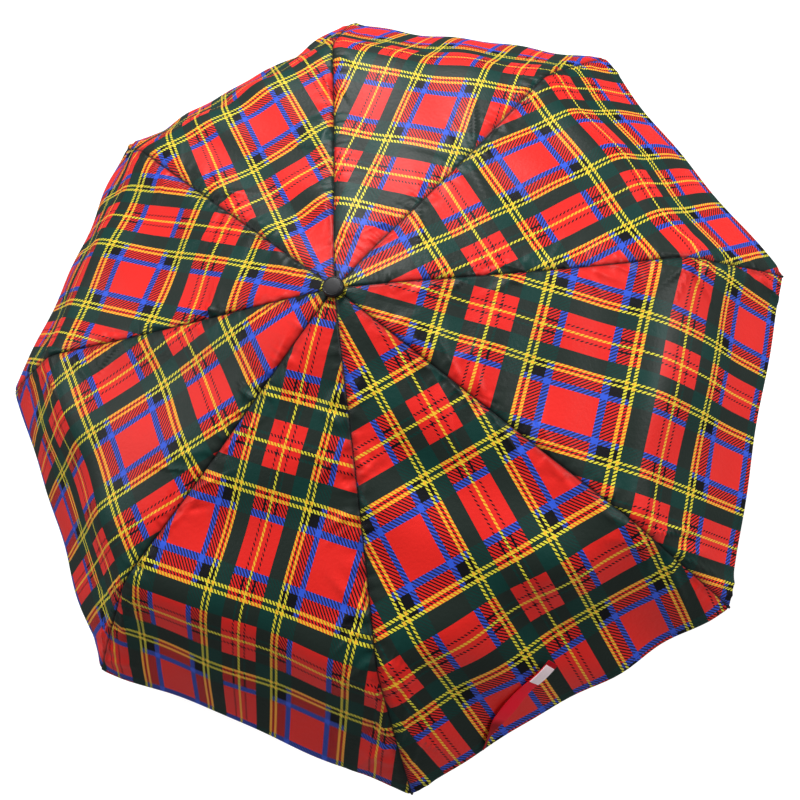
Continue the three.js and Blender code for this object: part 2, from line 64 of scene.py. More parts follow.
# ---- Places, in millimetres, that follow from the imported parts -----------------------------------

CAP_GAP = 0.3
APEX_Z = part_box("cap")[0].z / MM - CAP_GAP
KNEE = JOINTS["middle_hinge_1"]["pos_m"][1] / MM  # from the axis, along a rib
ELBOW = JOINTS["outer_hinge_1"]["pos_m"][1] / MM
# The cloth's outer surface along a rib: distance from the axis, and height from the apex.
CLOTH_LINE = [
    (4.2, -0.703),
    (60.38, -8.00),
    (148.18, -25.63),
    (245.69, -43.78),
    (344.36, -57.14),
    (356.41, -58.86),
    (405.40, -97.18),
    (454.10, -134.58),
    (490.00, -165.67),
]
HEM_RISE = 5.0
CLOTH = 0.45
HEM_WIDTH = 6.0
HEM_THICKNESS = 1.0


def rib_angle(k):
    return math.pi / 2 - 2 * HALF * (k - 1)


def gore_angle(g):
    return rib_angle(g) - HALF


def polar(angle):
    return np.array([math.cos(angle), math.sin(angle)])


def catmull_rom(points, steps):
    """Centripetal Catmull-Rom curve through the points."""
    pts = [np.array(p, float) for p in points]
    pts = [2 * pts[0] - pts[1]] + pts + [2 * pts[-1] - pts[-2]]
    line = []
    for p0, p1, p2, p3 in zip(pts, pts[1:], pts[2:], pts[3:]):
        d0, d1, d2 = (
            max(float(np.sum((b - a) ** 2)) ** 0.25, 1e-4)
            for a, b in ((p0, p1), (p1, p2), (p2, p3))
        )
        t1 = ((p1 - p0) / d0 - (p2 - p0) / (d0 + d1) + (p2 - p1) / d1) * d1
        t2 = ((p2 - p1) / d1 - (p3 - p1) / (d1 + d2) + (p3 - p2) / d2) * d1
        for k in range(steps):
            t = k / steps
            c2, c3 = 3 * (p2 - p1) - 2 * t1 - t2, 2 * (p1 - p2) + t1 + t2
            line.append(p1 + t1 * t + c2 * t * t + c3 * t**3)
    line.append(pts[-2])
    return np.array(line)


def softened(values, softness, reach):
    """The values with their corners rounded by a bell that wide. The ends stay."""
    bell = np.exp(-0.5 * (np.arange(-reach, reach + 1) / softness) ** 2)
    before = 2 * values[0] - values[reach:0:-1]
    after = 2 * values[-1] - values[-2 : -reach - 2 : -1]
    return np.convolve(np.concatenate([before, values, after]), bell / bell.sum(), "valid")


def running_length(x, z):
    return np.concatenate([[0], np.cumsum(np.hypot(np.diff(x), np.diff(z)))])


# Tables along the cloth's line, a millimetre apart: radius, height, and length along the rib and along
# a gore's centre line. The cloth spans the knee and the elbow instead of bending sharply over them.
PAST_HEM = 3  # steps of the line, and rows of the tables, that run on past the hem
line = catmull_rom(CLOTH_LINE, 60)
line = np.vstack([[0, 0], line, line[-1] + PAST_HEM * (line[-1] - line[-2])])
LINE_R = np.arange(0, CLOTH_LINE[-1][0] + PAST_HEM)
LINE_Z = softened(np.interp(LINE_R, line[:, 0], line[:, 1]), softness=12.0, reach=60)
LINE_S = running_length(LINE_R, LINE_Z)
LINE_V = running_length(LINE_R * math.cos(HALF), LINE_Z)
RIB_LENGTH = float(np.interp(CLOTH_LINE[-1][0], LINE_R, LINE_S))
HOLE_R = CLOTH_LINE[0][0]

# ---- Relief of the cloth -------------------------------------------------------------------------

rng = np.random.default_rng(36)


def waves(count, low, high):
    """Random waves for a pucker: wavelength, phase and share."""
    return [
        (rng.uniform(low, high), rng.uniform(0, 2 * math.pi), rng.uniform(0.4, 1) / count)
        for _ in range(count)
    ]


PUCKERS = {(k, side): waves(6, 8, 26) for k in RIB_IDS for side in (1, -1)}
SWELLS = {
    g: [
        (rng.uniform(70, 190), rng.uniform(0, 2 * math.pi), rng.uniform(0, 2 * math.pi))
        for _ in range(5)
    ]
    for g in RIB_IDS
}

LIVELY_GORES = (3, 4, 5)  # to the right and below in the photo, where its creases show best
CREASE_COUNT, LIVELY_COUNT = 32, 46


def make_creases(g):
    """Soft folds that start at a seam and run into the gore: start, direction, length, width, height."""
    made = []
    for _ in range(LIVELY_COUNT if g in LIVELY_GORES else CREASE_COUNT):
        side = rng.choice([1, -1])
        rho = rng.uniform(50, 480)
        start = np.array([rho * math.cos(HALF), side * rho * math.sin(HALF)])
        seam = np.array([math.cos(HALF), side * math.sin(HALF)])
        inward = np.array([math.sin(HALF), -side * math.cos(HALF)])
        turn = rng.uniform(0.15, 1.2) * rng.choice([1, -1])
        way = seam * math.cos(turn) * rng.choice([1, -1]) + inward * abs(math.sin(turn))
        length = rng.uniform(22, 90) * min(1, rho / 200 + 0.25)
        height = rng.uniform(0.7, 2.4) * rng.choice([1, 1, -0.6])
        made.append((start + inward * 2, way, length, rng.uniform(2.0, 5.0), height))
    return made


CREASES = {g: make_creases(g) for g in RIB_IDS}


def smooth(edge0, edge1, x):
    t = np.clip((x - edge0) / (edge1 - edge0), 0, 1)
    return t * t * (3 - 2 * t)


def seam_distance(x, y):
    return np.maximum((x * math.tan(HALF) - np.abs(y)) * math.cos(HALF), 0)


def hem_distance(x, y):
    """Along the cloth, from the point to the gore's hem."""
    across = 0.5 - 0.5 * y / (x * math.tan(HALF))
    rise = 4 * across * (1 - across) * HEM_RISE
    s = np.interp(x / math.cos(HALF), LINE_R, LINE_S)
    return RIB_LENGTH - rise - s


# Heights over the smooth cloth, each with its reach from the seam, in millimetres.
STITCHES = (-1.1, 1.6)
VALLEY = (-0.7, 9)
PILLOW = (1.0, 12)
PUCKER = (2.4, 5)
SWELL = (1.2, 22)
HEM_FOLD = 0.3  # over the hem's whole width


def dip(part, d):
    """Full at the seam, and gone past the part's reach."""
    height, reach = part
    return height * np.exp(-((d / reach) ** 2))


def hump(part, d):
    """Nothing at the seam, and full at the part's reach."""
    height, reach = part
    return height * (d / reach) * np.exp(1 - d / reach)


def relief(g, x, y):
    """Height over the smooth cloth. x runs down the gore's centre line, y towards its lower-numbered rib."""
    d = seam_distance(x, y)
    rho = np.hypot(x, y)
    h = hem_distance(x, y)
    lift = dip(STITCHES, d) + (dip(VALLEY, d) + hump(PILLOW, d)) * smooth(20, 90, rho)
    for side, k in ((1, g), (-1, g % RIBS + 1)):
        on_side = smooth(-6, 6, side * y)
        ripple = sum(a * np.sin(2 * math.pi * rho / w + p) for w, p, a in PUCKERS[k, side])
        lift = lift + hump(PUCKER, d) * ripple * on_side * smooth(15, 60, rho)
    swell = sum(
        np.sin(2 * math.pi * (x * math.cos(turn) + y * math.sin(turn)) / w + p) for w, p, turn in SWELLS[g]
    )
    lift = lift + SWELL[0] * swell * (1 - np.exp(-d / SWELL[1]))
    for start, way, length, width, height in CREASES[g]:
        px, py = x - start[0], y - start[1]
        along = (px * way[0] + py * way[1]) / length
        across = px * -way[1] + py * way[0]
        window = smooth(-0.08, 0.25, along) * (1 - smooth(0.35, 1, along))
        lift = lift + height * np.exp(-((across / width) ** 2)) * window * (1 - np.exp(-d / 3))
    fold = smooth(-0.2, 0.6, h) * (1 - smooth(HEM_WIDTH - 0.6, HEM_WIDTH + 0.4, h))
    return lift + HEM_FOLD * fold


def gore_point(g, x, y):
    """Points of the finished outer surface, in metres."""
    r = x / math.cos(HALF)
    z = np.interp(r, LINE_R, LINE_Z)
    slope = (np.interp(r + 0.5, LINE_R, LINE_Z) - np.interp(r - 0.5, LINE_R, LINE_Z)) / math.cos(HALF)
    scale = relief(g, x, y) / np.sqrt(1 + slope**2)
    down, side = polar(gore_angle(g)), polar(gore_angle(g) + math.pi / 2)
    out = x - slope * scale
    xy = out[..., None] * down + y[..., None] * side
    return np.concatenate([xy, (APEX_Z + z + scale)[..., None]], -1) * MM


def gore_normal(g, x, y):
    side = np.where(y >= 0, 1.0, -1.0)
    step = 0.3
    here = gore_point(g, x, y)
    along = gore_point(g, x + step, y) - here
    across = (here - gore_point(g, x, y - side * step)) * side[..., None]
    n = np.cross(along, across)
    return n / np.linalg.norm(n, axis=-1, keepdims=True)


# ---- The print: where the tartan lies on each gore -----------------------------------------------

# For each gore: where the lined red stripe lies across it, how far from the apex the first plain red stripe
# lies, and the sett's size across and down as that gore was cut and stretched.
PRINT = {
    1: (54.2, 52.4, 158.3, 201.2),
    2: (-38.5, 57.9, 156.0, 196.9),
    3: (24.6, 57.7, 153.9, 198.3),
    4: (25.1, 57.7, 154.2, 199.8),
    5: (-6.7, 64.9, 153.8, 197.7),
    6: (-62.6, 72.0, 157.0, 195.4),
    7: (-47.8, 61.2, 155.1, 202.0),
    8: (59.9, 60.2, 157.1, 204.4),
}
WHOLE_SETTS = 10  # added to keep the places above zero


def print_place(g, x, y):
    """Where each point lies on the print, in setts."""
    shift, start, across, down = PRINT[g]
    v = np.interp(x / math.cos(HALF), LINE_R, LINE_V)
    return np.stack([(y - shift) / across + 0.5, (v - start) / down], -1) + WHOLE_SETTS


# ---- Node helpers --------------------------------------------------------------------------------


def srgb(*channels):
    linear = [
        c / 255 / 12.92 if c / 255 <= 0.04045 else ((c / 255 + 0.055) / 1.055) ** 2.4 for c in channels
    ]
    return (*linear, 1.0)


class Shade:
    """A material's nodes, with short ways to add and link them."""

    def __init__(self, name, **sockets):
        self.material = bpy.data.materials.new(name)
        self.material.use_nodes = True
        self.tree = self.material.node_tree
        self.shader = self.tree.nodes["Principled BSDF"]
        for socket, value in sockets.items():
            self.set(socket.replace("_", " "), value)

    def set(self, socket, value):
        if isinstance(value, bpy.types.NodeSocket):
            self.tree.links.new(value, self.shader.inputs[socket])
        else:
            self.shader.inputs[socket].default_value = value

    def node(self, kind, *inputs, out=0, **settings):
        made = self.tree.nodes.new("ShaderNode" + kind)
        for key, value in settings.items():
            setattr(made, key, value)
        for slot, value in zip(made.inputs, inputs):
            self.feed(slot, value)
        return made.outputs[out]

    def feed(self, slot, value):
        if isinstance(value, bpy.types.NodeSocket):
            self.tree.links.new(value, slot)
        elif value is not None:
            slot.default_value = value

    def math(self, operation, *inputs):
        return self.node("Math", *inputs, operation=operation)

    def mix(self, share, a, b):
        made = self.tree.nodes.new("ShaderNodeMix")
        made.data_type = "RGBA"
        for slot, value in ((0, share), (6, a), (7, b)):
            self.feed(made.inputs[slot], value)
        return made.outputs[2]

    def ramp(self, value, stops, constant=False):
        made = self.tree.nodes.new("ShaderNodeValToRGB")
        self.tree.links.new(value, made.inputs[0])
        band = made.color_ramp
        band.interpolation = "CONSTANT" if constant else "LINEAR"
        while len(band.elements) < len(stops):
            band.elements.new(0.5)
        for element, (place, colour) in zip(band.elements, stops):
            element.position = place
            element.color = colour
        return made

    def noise(self, scale, detail=3.0, place=None):
        made = self.tree.nodes.new("ShaderNodeTexNoise")
        self.feed(made.inputs["Vector"], place or self.node("TexCoord", out=3))
        made.inputs["Scale"].default_value = scale
        made.inputs["Detail"].default_value = detail
        return made.outputs[0]

    def spread(self, value, low, high):
        """The value from 0 to 1 laid over low to high."""
        return self.math("MULTIPLY_ADD", value, high - low, low)

    def bump(self, height, distance, strength=1.0, after=None):
        made = self.tree.nodes.new("ShaderNodeBump")
        made.inputs["Strength"].default_value = strength
        made.inputs["Distance"].default_value = distance
        self.feed(made.inputs["Height"], height)
        if after is not None:
            self.feed(made.inputs["Normal"], after)
        return made.outputs[0]


# ---- Tartan cloth --------------------------------------------------------------------------------

NONE, BLACK, GREEN, BLUE, YELLOW = (0, 0, 0, 0), (1, 0, 0, 0), (0, 1, 0, 0), (0, 0, 1, 0), (0, 0, 0, 1)
# Half of the sett, from the plain red square's centre (0) to the lined red square's centre (1).
SETT = [
    (0.0, NONE),
    (0.25, BLUE),
    (0.324, BLACK),
    (0.45, YELLOW),
    (0.488, BLACK),
    (0.520, YELLOW),
    (0.558, GREEN),
    (0.760, NONE),
    (0.903, BLACK),
    (0.930, NONE),
    (0.981, YELLOW),
]
HATCH = 42.0  # diagonal lines in each sett
LINE_SHARE, ROPE_SHARE = 0.46, 0.6  # of the hatch: the plain lines, and the yellow ones
RED_INK, BLACK_INK = srgb(238, 40, 34), srgb(14, 14, 20)
NAVY_INK, BLUE_INK = srgb(44, 40, 92), srgb(52, 92, 222)
GREY_INK, TEAL_INK = srgb(34, 44, 39), srgb(14, 58, 52)
ORANGE_INK, AMBER_INK = srgb(236, 92, 34), srgb(252, 196, 52)
GAP_INK, YELLOW_INK = srgb(14, 24, 24), srgb(236, 226, 64)
# The seams' colour stands for their stitched line and for painted shade beside it; the fold's colour is the
# stitched line at the hem.
SEAM_STITCH_AND_PAINTED_SHADE, FOLD_SHADE = srgb(12, 11, 13), srgb(14, 12, 14)
REVERSE_TINT, REVERSE_FADE = srgb(70, 60, 60), 0.38
PRINT_UV, EDGE_UV = "print", "edge"
EDGE_UNIT = 100.0  # millimetres in one unit of the edge map
FOLD_LINE, FOLD_DARK = 0.35, 0.45  # half the width of the stitched line at the hem, and how dark it is


def tartan(shade):
    """The printed colour."""
    place = shade.node("SeparateXYZ", shade.node("UVMap", uv_map=PRINT_UV))
    axes = [place, place.node.outputs[1]]
    bands = []
    for axis in axes:
        fold = shade.math("MULTIPLY", shade.math("PINGPONG", axis, 0.5), 2.0)
        ramp = shade.ramp(fold, SETT, constant=True)
        split = shade.node("SeparateColor", ramp.outputs[0]).node
        bands.append([*split.outputs[:3], ramp.outputs[1]])
    phase = shade.math("MULTIPLY", shade.math("SUBTRACT", *axes), HATCH)
    wave = shade.math("FRACT", phase)
    hatch = shade.math("LESS_THAN", wave, LINE_SHARE)
    rope = shade.math("LESS_THAN", wave, ROPE_SHARE)
    either = [shade.math("MAXIMUM", a, b) for a, b in zip(*bands)]
    both = [shade.math("MINIMUM", a, b) for a, b in zip(*bands)]
    hatched = [
        shade.math("MAXIMUM", two, shade.math("MULTIPLY", one, hatch)) for one, two in zip(either, both)
    ]
    black, green, blue, yellow = range(4)
    dark = shade.math("MAXIMUM", either[black], either[blue])
    any_band = shade.math("MAXIMUM", dark, either[green])
    colour = shade.mix(hatched[black], RED_INK, BLACK_INK)
    colour = shade.mix(either[blue], colour, NAVY_INK)
    colour = shade.mix(hatched[blue], colour, BLUE_INK)
    over_dark = shade.math("MULTIPLY", dark, shade.spread(hatch, 0.35, 1.0))
    teal = shade.math("MAXIMUM", both[green], over_dark)
    greens = shade.mix(teal, GREY_INK, TEAL_INK)
    colour = shade.mix(either[green], colour, greens)
    warm = shade.math("MULTIPLY", either[yellow], shade.math("SUBTRACT", 1.0, any_band))
    colour = shade.mix(warm, colour, ORANGE_INK)
    gap = shade.math("MULTIPLY", either[yellow], any_band)
    colour = shade.mix(gap, colour, GAP_INK)
    twisted = shade.math("MAXIMUM", both[yellow], shade.math("MULTIPLY", either[yellow], rope))
    return shade.mix(twisted, colour, shade.mix(warm, YELLOW_INK, AMBER_INK))


def cloth_material(name, fade):
    """The printed cloth. fade mixes in a flat tint, as the print shows on its reverse."""
    shade = Shade(name, Specular_IOR_Level=0.22)
    colour = shade.mix(fade, tartan(shade), REVERSE_TINT)
    edge = shade.node("SeparateXYZ", shade.node("UVMap", uv_map=EDGE_UV)).node
    seam, hem = (shade.math("MULTIPLY", edge.outputs[n], EDGE_UNIT) for n in (0, 1))
    cloud = shade.noise(14, 4)
    # A dark stitched line at each seam, with painted shade beside it that fades out over about 8 mm where the
    # cloth dips along the rib.
    seam_stitch_and_painted_shade = shade.ramp(
        shade.math("MULTIPLY", seam, 0.1),
        [(0.0, (0.95,) * 4), (0.06, (0.85,) * 4), (0.14, (0.4,) * 4), (0.8, (0, 0, 0, 1))],
    ).outputs[0]
    colour = shade.mix(seam_stitch_and_painted_shade, colour, SEAM_STITCH_AND_PAINTED_SHADE)
    from_fold = shade.math("ABSOLUTE", shade.math("SUBTRACT", hem, HEM_WIDTH))
    fold_line = shade.math("LESS_THAN", from_fold, FOLD_LINE)
    colour = shade.mix(shade.math("MULTIPLY", fold_line, FOLD_DARK), colour, FOLD_SHADE)
    tone = shade.spread(cloud, 0.86, 1.1)
    shade.set("Base Color", shade.node("HueSaturation", 0.5, 1.0, tone, 1.0, colour))
    shade.set("Roughness", shade.spread(cloud, 0.42, 0.54))
    crinkle = shade.bump(shade.noise(260, 5), 0.0006, 0.5)
    shade.set("Normal", shade.bump(shade.noise(2600, 1), 0.0001, 0.35, after=crinkle))
    return shade.material


outer_cloth = cloth_material("tartan_face", 0.0)
inner_cloth = cloth_material("tartan_back", REVERSE_FADE)

# ---- Canopy strips -------------------------------------------------------------------------------

COLUMNS = 30
SHARES = np.linspace(0, 1, COLUMNS + 1) ** 1.7  # closer together at the seam
# Each segment's place along the rib, its rows of faces, and the ribs it rides on.
SEGMENTS = {
    "inner": (0, 40, "inner_rib"),
    "middle": (1, 42, "middle_rib"),
    "outer": (2, 34, "outer_rib"),
}
# The outer rows end here, in millimetres from the hem, so that the folded hem keeps its edges.
HEM_ROWS = np.array([9, HEM_WIDTH + 1, HEM_WIDTH, HEM_WIDTH - 1, 3, 1, 0.4, 0])
HEM_ZONE = 11  # the even rows stop this far from the hem
# The cut at the elbow, from straight between two elbows (0) to square to the rib (1). Between the two,
# the strips fold with the least cloth standing off the ribs.
ELBOW_SLANT = 0.42


def limits(share):
    """Along one line of a half gore, from the rib (share 0) to the centre (1): hole, knee, elbow and hem."""
    bend = math.cos(HALF) + (1 - share) * math.sin(HALF) * math.tan(HALF)
    rise = share * (2 - share) * HEM_RISE
    hem = float(np.interp(RIB_LENGTH - rise, LINE_S, LINE_R)) * math.cos(HALF)
    elbow = ELBOW * math.cos(HALF) * (1 - ELBOW_SLANT) + ELBOW / bend * ELBOW_SLANT
    return [HOLE_R * math.cos(HALF), KNEE / bend, elbow, hem]


def row_shares(segment, rows, length):
    """Where the rows lie along a segment, from 0 to 1."""
    if segment != "outer":
        return np.linspace(0, 1, rows + 1)
    even = np.linspace(0, 1 - HEM_ZONE / length, rows + 1 - len(HEM_ROWS))
    return np.concatenate([even, 1 - HEM_ROWS / length])


def half_grid(segment, k, side):
    """A half strip's rows and columns. side 1 is the gore on the rib's clockwise side, -1 the other one."""
    g = k if side > 0 else (k - 2) % RIBS + 1
    index, rows, _ = SEGMENTS[segment]
    xs, ys = [], []
    for share in SHARES:
        low, high = limits(share)[index : index + 2]
        x = low + (high - low) * row_shares(segment, rows, high - low)
        xs.append(x)
        ys.append(side * (1 - share) * x * math.tan(HALF))
    x, y = np.stack(xs, 1), np.stack(ys, 1)
    uv = print_place(g, x, y)
    edge = np.stack([seam_distance(x, y), np.maximum(hem_distance(x, y), 0)], -1) / EDGE_UNIT
    return {"p": gore_point(g, x, y), "n": gore_normal(g, x, y), "uv": uv, "edge": edge, "x": x, "y": y}


SIDE_NAMES = {1: "clock", -1: "anti"}
HEM_EDGE = 0.5  # the folded hem's thickness reaches this far past the fold


def grid_faces(rows, columns):
    """The faces over a grid of points, and the pairs of neighbours round its rim."""
    quads = [
        [(r, c), (r, c + 1), (r + 1, c + 1), (r + 1, c)] for r in range(rows - 1) for c in range(columns - 1)
    ]
    end_row, end_column = rows - 1, columns - 1
    rim = [((end_row, c), (end_row, c + 1)) for c in range(end_column)]
    rim += [((0, c + 1), (0, c)) for c in range(end_column)]
    rim += [((r, 0), (r + 1, 0)) for r in range(end_row)]
    rim += [((r + 1, end_column), (r, end_column)) for r in range(end_row)]
    return quads, rim


def half_strip(segment, k, side):
    """One side of a strip as a closed thin solid, and its grid."""
    both = {way: half_grid(segment, k, way) for way in (-1, 1)}
    half = both[side]
    half["p"][:, 0] = (both[-1]["p"][:, 0] + both[1]["p"][:, 0]) / 2
    grid = {key: half[key][:, ::side] for key in ("p", "n", "uv", "edge")}
    points, normals = grid["p"], grid["n"]
    rows, columns = points.shape[:2]
    thick = np.where(grid["edge"][..., 1] * EDGE_UNIT < HEM_WIDTH + HEM_EDGE, HEM_THICKNESS, CLOTH)
    verts = np.stack([points, points - normals * thick[..., None] * MM]).reshape(-1, 3)
    lower = rows * columns
    faces, corners, corner_normals, inside = [], [], [], []
    quads, rim = grid_faces(rows, columns)
    for quad in quads:
        for below in (0, 1):
            order = quad[::-1] if below else quad
            faces.append([r * columns + c + lower * below for r, c in order])
            corners += order
            corner_normals += [-normals[at] if below else normals[at] for at in order]
            inside.append(below)
    for first, second in rim:
        a, b = first[0] * columns + first[1], second[0] * columns + second[1]
        flat = np.cross(verts[b + lower] - verts[b], verts[a] - verts[b])
        faces.append([b, b + lower, a + lower, a])
        corners += [second, second, first, first]
        corner_normals += [flat / max(np.linalg.norm(flat), 1e-12)] * 4
        inside.append(0)
    name = f"canopy_{segment}_{k}_{SIDE_NAMES[side]}"
    mesh = bpy.data.meshes.new(name)
    mesh.from_pydata(verts.tolist(), [], faces)
    for layer_name, key in ((PRINT_UV, "uv"), (EDGE_UV, "edge")):
        layer = mesh.uv_layers.new(name=layer_name)
        layer.data.foreach_set("uv", np.array([grid[key][at] for at in corners], np.float32).ravel())
    mesh.materials.append(outer_cloth)
    mesh.materials.append(inner_cloth)
    mesh.polygons.foreach_set("material_index", inside)
    mesh.polygons.foreach_set("use_smooth", [True] * len(faces))
    mesh.update()
    mesh.normals_split_custom_set(np.array(corner_normals, float).tolist())
    piece = bpy.data.objects.new(name, mesh)
    bpy.context.scene.collection.objects.link(piece)
    return piece, half


def gathering(k, half):
    """A point on the half strip's seam, and the slanting way from the rib to the gore's centre."""
    start, end = half["p"][0, 0], half["p"][-1, 0]
    along = (end - start) / np.linalg.norm(end - start)
    tangent = np.array([*polar(rib_angle(k) + math.pi / 2), 0])
    normal = np.cross(along, tangent)
    offset = half["p"].reshape(-1, 3) - start
    across, over = offset @ tangent, offset @ normal
    weight = across**2  # the wide end matters most
    way = tangent * float(weight @ across**2) + normal * float(weight @ (across * over))
    return start, way / np.linalg.norm(way)


def gather(piece, anchor, way):
    """Gives the piece a mesh of its own."""
    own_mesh(piece)


GATHERED = {}
for k in RIB_IDS:
    for segment, (_, _, rib) in SEGMENTS.items():
        for side in SIDE_NAMES:
            piece, half = half_strip(segment, k, side)
            body = f"{rib}_{k}"
            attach(piece, body)
            if segment == "inner":
                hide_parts(f"canopy_panel_{k}")
            GATHERED[segment, k, side] = gathering(k, half)
            gather(piece, *GATHERED[segment, k, side])

# ---- Strap and hook patch ------------------------------------------------------------------------

STRAP_GORE = 4
STRAP_RIB = 5
# The strap's line on the gore: millimetres from the centre line towards rib 4, and up from the hem's corners.
STRAP_ROOT, STRAP_BEND, STRAP_TIP = (np.array(p, float) for p in ((-100, 8), (-74, 38), (5, 72)))
STRAP_WIDTH = 12.0
STRAP_THICKNESS = 0.5
PATCH_LENGTH = 18.0
STRAP_END = 3.5  # the folded end beyond the patch
STRAP_TWIST = 0.6  # radians, at the root
STRAP_GATHERED = 0.42  # of the full width, at the root
STRAP_BULGE = 0.3  # wider by this share at the middle
# How high the ribbon stands over the cloth: everywhere, more at the middle, and more at the tip.
STRAP_STAND, STRAP_ARCH, STRAP_LIFT = 0.8, 2.5, 5.0


def strap_point(t, aside, lift):
    """A point of the ribbon: its share along, millimetres to the left, height over the middle."""
    at = (1 - t) ** 2 * STRAP_ROOT + 2 * t * (1 - t) * STRAP_BEND + t * t * STRAP_TIP
    way = (1 - t) * (STRAP_BEND - STRAP_ROOT) + t * (STRAP_TIP - STRAP_BEND)
    way /= np.linalg.norm(way)
    twist = STRAP_TWIST * (1 - float(smooth(0.05, 0.42, t)))
    gathered = STRAP_GATHERED + (1 - STRAP_GATHERED) * float(smooth(0.12, 0.42, t))
    width = STRAP_WIDTH * gathered * (1 + STRAP_BULGE * math.exp(-(((t - 0.55) / 0.2) ** 2)))
    aside *= width / STRAP_WIDTH
    flat = at + np.array([-way[1], way[0]]) * (aside * math.cos(twist) - lift * math.sin(twist))
    s = RIB_LENGTH - flat[1]
    x = np.array(float(np.interp(s, LINE_S, LINE_R)) * math.cos(HALF))
    y = np.array(flat[0])
    stand = STRAP_STAND + 0.5 * width * math.sin(twist)
    stand += STRAP_ARCH * math.exp(-(((t - 0.5) / 0.16) ** 2)) + STRAP_LIFT * float(smooth(0.72, 1.0, t))
    over = stand + aside * math.sin(twist) + lift * math.cos(twist)
    return gore_point(STRAP_GORE, x, y) + gore_normal(STRAP_GORE, x, y) * (over * MM)


STRAP_LENGTH = 2 * sum(
    np.linalg.norm((STRAP_BEND - STRAP_ROOT) * (1 - t) + (STRAP_TIP - STRAP_BEND) * t)
    for t in np.linspace(0, 1, 101)
) / 101


SMOOTH_ANGLE = 40  # degrees: sharper edges than this stay sharp


def add_mesh(name, verts, faces, material):
    mesh = bpy.data.meshes.new(name)
    mesh.from_pydata([tuple(v) for v in verts], [], faces)
    mesh.materials.append(material)
    mesh.polygons.foreach_set("use_smooth", [True] * len(mesh.polygons))
    mesh.set_sharp_from_angle(angle=math.radians(SMOOTH_ANGLE))
    mesh.update()
    piece = bpy.data.objects.new(name, mesh)
    bpy.context.scene.collection.objects.link(piece)
    return piece


def slab(name, rows, columns, point, material):
    """A closed thin solid. point(row, column, side) gives each corner, side 1 above and 0 below."""
    verts = [point(r, c, side) for side in (1, 0) for r in range(rows + 1) for c in range(columns + 1)]
    lower = (rows + 1) * (columns + 1)

    def at(r, c):
        return r * (columns + 1) + c

    faces = []
    for r in range(rows):
        for c in range(columns):
            quad = [at(r, c), at(r, c + 1), at(r + 1, c + 1), at(r + 1, c)]
            faces += [quad, [q + lower for q in quad[::-1]]]
    rim = [at(0, c) for c in range(columns)] + [at(r, columns) for r in range(rows)]
    rim += [at(rows, c) for c in range(columns, 0, -1)] + [at(r, 0) for r in range(rows, 0, -1)]
    for a, b in zip(rim, rim[1:] + rim[:1]):
        faces.append([b, a, a + lower, b + lower])
    return add_mesh(name, verts, faces, material)


RUN_UV = "run"


def satin():
    """Bright red, and a darker red at its root and at its folded end."""
    shade = Shade("strap_satin", Specular_IOR_Level=0.12)
    cloud = shade.noise(90, 3)
    satin_red = shade.mix(cloud, srgb(246, 6, 36), srgb(255, 14, 52))
    run = shade.node("SeparateXYZ", shade.node("UVMap", uv_map=RUN_UV))
    # The ramp gives how much of the darker red shows: along the root up to about 0.4 of its length, and at
    # the folded end.
    front, back = (0, 0, 0, 1), (1,) * 4
    stops = [(0.0, back), (0.34, back), (0.42, front), (0.95, front), (0.965, (0.8,) * 4)]
    darker_run = shade.ramp(run, stops).outputs[0]
    shade.set("Base Color", shade.mix(darker_run, satin_red, srgb(150, 4, 16)))
    shade.set("Roughness", shade.spread(cloud, 0.36, 0.52))
    threads = shade.noise(2400, 1)
    shade.set("Normal", shade.bump(threads, 0.0001, 0.4))
    return shade.material


def hook_tape():
    shade = Shade("hook_tape", Roughness=0.5, Specular_IOR_Level=0.5, Sheen_Weight=1.0)
    loops = shade.noise(1900, 3)
    shade.set("Base Color", shade.mix(loops, srgb(255, 214, 224), srgb(255, 240, 244)))
    shade.set("Normal", shade.bump(loops, 0.0004, 0.8))
    return shade.material


end_share = 1 - STRAP_END / STRAP_LENGTH
patch_share = end_share - PATCH_LENGTH / STRAP_LENGTH
STRAP_ROWS, STRAP_COLUMNS = 60, 8
PATCH_ROWS, PATCH_COLUMNS = 10, 6
PATCH_INSET = 1.2
PATCH_THICKNESS = 1.1


def ribbon_corner(r, c, side):
    t = r / STRAP_ROWS
    aside = STRAP_WIDTH * (c / STRAP_COLUMNS - 0.5)
    thick = STRAP_THICKNESS * (1 + 1.3 * float(smooth(end_share - 0.01, end_share, t)))
    edge = 0.12 if c in (0, STRAP_COLUMNS) else 0
    return strap_point(t, -aside, (thick - edge) if side else edge)


def patch_corner(r, c, side):
    t = patch_share + (end_share - patch_share) * r / PATCH_ROWS
    aside = (STRAP_WIDTH - PATCH_INSET) * (c / PATCH_COLUMNS - 0.5)
    edge = 0.2 if r in (0, PATCH_ROWS) or c in (0, PATCH_COLUMNS) else 0
    return strap_point(t, -aside, STRAP_THICKNESS + (PATCH_THICKNESS - edge if side else 0.05))


def wear(piece, body, slot_name, *nodes):
    """The piece rides on a body, and stands for the nodes named. slot_name is not used."""
    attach(piece, body)
    if nodes:
        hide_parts(*nodes)
    return piece


ribbon = slab("tie_ribbon", STRAP_ROWS, STRAP_COLUMNS, ribbon_corner, satin())
run_layer = ribbon.data.uv_layers.new(name=RUN_UV)
row_size = STRAP_COLUMNS + 1
for loop in ribbon.data.loops:
    place = loop.vertex_index % ((STRAP_ROWS + 1) * row_size)
    run_layer.data[loop.index].uv = (place // row_size / STRAP_ROWS, place % row_size / STRAP_COLUMNS)
tie = wear(ribbon, f"outer_rib_{STRAP_RIB}", "strap_cloth", "tie_strap")
tape = slab("hook_tape", PATCH_ROWS, PATCH_COLUMNS, patch_corner, hook_tape())
patch = wear(tape, f"outer_rib_{STRAP_RIB}", "hook_patch", "hook_patch")
gather(tie, *GATHERED["outer", STRAP_RIB, -1])
gather(patch, *GATHERED["outer", STRAP_RIB, -1])

# ---- Turned pieces of handle, shaft and cap ------------------------------------------------------


